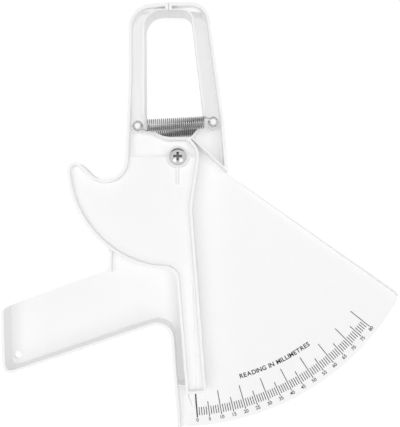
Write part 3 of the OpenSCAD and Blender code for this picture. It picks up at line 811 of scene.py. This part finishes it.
def add_text(bm, text, size, weight, centre, angle):
    """Adds letters to a bmesh, in millimetres and radians; weight thickens their strokes."""
    curve = bpy.data.curves.new("letters", "FONT")
    curve.body = text
    curve.size = size * MM
    curve.align_x, curve.align_y = "CENTER", "CENTER"
    curve.extrude = INK_THICK * MM
    curve.offset = weight * MM
    curve.resolution_u = 4
    holder = bpy.data.objects.new("letters", curve)
    mesh = bpy.data.meshes.new_from_object(holder)
    bpy.data.objects.remove(holder)
    place = Vector((centre.x, centre.y, INK_Z)) * MM
    mesh.transform(Matrix.Translation(place) @ Matrix.Rotation(angle, 4, "Z"))
    bm.from_mesh(mesh)
    bpy.data.meshes.remove(mesh)


numbers = bmesh.new()
for reading in range(0, LAST_READING + 1, READING_STEP):
    aim = reading_angle(reading, NUMBER_R)
    centre = FAN_CENTRE + NUMBER_R * Vector((math.cos(aim), math.sin(aim)))
    add_text(numbers, str(reading), NUMBER_SIZE, NUMBER_WEIGHT, centre, aim + math.pi / 2)
number_piece = piece_from(numbers, "scale_numbers", ink, "frame")
print("numbers", len(number_piece.data.polygons), "faces")

# %% [markdown]
# Above the scale stands a plain legend that names the unit. Its letters stand on an arc round the pivot,
# so each one is placed and turned by itself. Letters differ in width, so each is measured first, and what
# is left of the arc is shared out between them.

# %% Legend on its arc
LEGEND, LEGEND_R = "READING IN MILLIMETRES", 165.0
LEGEND_SIZE, LEGEND_WEIGHT, LEGEND_SPACE = 4.6, 0.13, 1.3
LEGEND_FROM, LEGEND_TO = 15.6, 35.2


def letter_width(letter):
    """Width of one letter of the legend, in millimetres; a space has the width LEGEND_SPACE."""
    trial = bmesh.new()
    add_text(trial, letter, LEGEND_SIZE, LEGEND_WEIGHT, Vector((0.0, 0.0)), 0.0)
    places = [v.co.x / MM for v in trial.verts] or [0.0, LEGEND_SPACE]
    trial.free()
    return max(places) - min(places)


letter_widths = [letter_width(letter) for letter in LEGEND]
arc_length = LEGEND_R * math.radians(LEGEND_TO - LEGEND_FROM)
gap = (arc_length - sum(letter_widths)) / (len(LEGEND) - 1)
letters = bmesh.new()
along = 0.0
for letter, width in zip(LEGEND, letter_widths):
    aim = math.radians(LEGEND_FROM - 90) + (along + width / 2) / LEGEND_R
    if letter != " ":
        place = LEGEND_R * Vector((math.cos(aim), math.sin(aim)))
        add_text(letters, letter, LEGEND_SIZE, LEGEND_WEIGHT, place, aim + math.pi / 2)
    along += width + gap
legend_piece = piece_from(letters, "scale_legend", ink, "frame")
print("legend", round(arc_length, 1), "mm long, gap between letters", round(gap, 2), "mm")
print("legend", len(legend_piece.data.polygons), "faces")

# %% [markdown]
# The marks themselves are the CAD node, which is the right shape already and only needs its ink.

# %% Ink on the marks
set_material(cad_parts["scale_print"], ink)
print("marks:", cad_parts["scale_print"].data.materials[0].name)

# %% [markdown]
# ## Floor, light and camera
# The caliper lies on a pale table, and the background is white. White could come from more light, but that
# would wash out the plastic. Instead, the rays that show the floor find it glowing a little, and all
# other rays find plain paint. The floor keeps the object's shadow.

# %% Floor
FLOOR_SIZE = 3.0
FLOOR_GAP = 0.02
FLOOR_GLOW = 0.80
FLOOR_LIT, FLOOR_SHOWN = (0.94, 0.94, 0.94), (0.26, 0.26, 0.26)


def seen_plainly(tree):
    """Mask that is 1 for rays that show a surface: from a camera, off something glossy, or through glass."""
    path = tree.nodes.new("ShaderNodeLightPath")
    seen = math_node(tree, "MAXIMUM", path.outputs["Is Camera Ray"], path.outputs["Is Glossy Ray"])
    return math_node(tree, "MAXIMUM", seen, path.outputs["Is Transmission Ray"])


def pale_floor():
    """Pale table that a camera, a mirror or glass sees as nearly white, and that is clear from below."""
    material, tree, shader = principled("pale_floor")
    seen = seen_plainly(tree)
    tinted(tree, seen, FLOOR_LIT, FLOOR_SHOWN, shader)
    shader.inputs["Roughness"].default_value = 0.9
    shader.inputs["Emission Color"].default_value = (1.0, 1.0, 1.0, 1.0)
    tree.links.new(math_node(tree, "MULTIPLY", seen, FLOOR_GLOW), shader.inputs["Emission Strength"])
    clear = tree.nodes.new("ShaderNodeBsdfTransparent")
    side = tree.nodes.new("ShaderNodeMixShader")
    tree.links.new(tree.nodes.new("ShaderNodeNewGeometry").outputs["Backfacing"], side.inputs["Fac"])
    tree.links.new(shader.outputs["BSDF"], side.inputs[1])
    tree.links.new(clear.outputs["BSDF"], side.inputs[2])
    tree.links.new(side.outputs["Shader"], tree.nodes["Material Output"].inputs["Surface"])
    return material


floor_bm = bmesh.new()
bmesh.ops.create_grid(floor_bm, x_segments=1, y_segments=1, size=FLOOR_SIZE)
bmesh.ops.translate(floor_bm, vec=(0, 0, cad_box[0].z - FLOOR_GAP * MM), verts=floor_bm.verts)
floor_mesh = bpy.data.meshes.new("floor")
floor_bm.to_mesh(floor_mesh)
floor_bm.free()
floor = bpy.data.objects.new("floor", floor_mesh)
bpy.context.scene.collection.objects.link(floor)
set_material(floor, pale_floor())
print("floor at", round(cad_box[0].z / MM, 2), "mm")

# %% [markdown]
# Most of the light comes from a sky that is a little brighter overhead, which gives the soft shade inside
# the rims. A long strip panel overhead draws a bright line along the springs, and two square panels below
# the picture make two bright spots on the screw's dome. White walls light each other, so light may bounce
# sixteen times: with fewer, narrow pockets turn grey.

# %% Light
HORIZON, ZENITH = 0.53, 0.57
LAMP_AIM = Vector((0.0, -0.04, 0.0))
BOUNCES = 16


def sky(horizon, zenith):
    """Soft white sky, brighter overhead than at the horizon; cameras, mirrors and glass see plain white."""
    world = bpy.data.worlds.new("sky")
    world.use_nodes = True
    tree = world.node_tree
    background = tree.nodes["Background"]
    direction = tree.nodes.new("ShaderNodeSeparateXYZ")
    tree.links.new(tree.nodes.new("ShaderNodeTexCoord").outputs["Generated"], direction.inputs["Vector"])
    height = math_node(tree, "MAXIMUM", direction.outputs["Z"], 0.0)
    rise = math_node(tree, "MULTIPLY", math_node(tree, "POWER", height, 2.0), zenith - horizon)
    glow = math_node(tree, "ADD", rise, horizon)
    seen = seen_plainly(tree)
    hidden = math_node(tree, "MULTIPLY", glow, math_node(tree, "SUBTRACT", 1.0, seen))
    tree.links.new(math_node(tree, "ADD", hidden, seen), background.inputs["Strength"])
    background.inputs["Color"].default_value = (1.0, 1.0, 1.0, 1.0)
    bpy.context.scene.world = world


def panel(name, place, width, depth, power):
    """Soft light of this width and depth in metres, turned from its place towards the caliper's middle."""
    light = bpy.data.lights.new(name, "AREA")
    light.shape = "RECTANGLE"
    light.size = width
    light.size_y = depth
    light.energy = power
    lamp = bpy.data.objects.new(name, light)
    lamp.location = place
    lamp.rotation_euler = (LAMP_AIM - Vector(place)).to_track_quat("-Z", "Y").to_euler()
    bpy.context.scene.collection.objects.link(lamp)
    print(name, "at", place, "with", power, "W")


sky(HORIZON, ZENITH)
panel("top_panel", (0.0, 0.05, 2.3), 3.0, 0.45, 18.8)
panel("left_panel", (-1.15, -1.2, 1.9), 1.0, 1.0, 4.3)
panel("right_panel", (1.15, -1.2, 1.9), 1.0, 1.0, 4.3)
bpy.context.scene.view_settings.view_transform = "Standard"
bpy.context.scene.cycles.diffuse_bounces = BOUNCES
bpy.context.scene.cycles.max_bounces = BOUNCES

# %% [markdown]
# The camera looks straight down from 400 mm, a little to the right of the pivot and below it. The long
# side of the sensor is the picture's height, so the lens follows from how many pixels a radian fills.

# %% Camera
VIEW_CENTRE = Vector((15.6, -40.0, 400.0))
PICTURE_H = 427
PIXELS_PER_RADIAN = 546
SENSOR = 36.0
camera_data = bpy.data.cameras.new("camera")
camera_data.sensor_width = SENSOR
camera_data.lens = SENSOR * PIXELS_PER_RADIAN / PICTURE_H
camera_data.clip_start = 0.01
camera = bpy.data.objects.new("camera", camera_data)
camera.location = VIEW_CENTRE * MM
bpy.context.scene.collection.objects.link(camera)
bpy.context.scene.camera = camera
print("lens", round(camera_data.lens, 2), "mm")
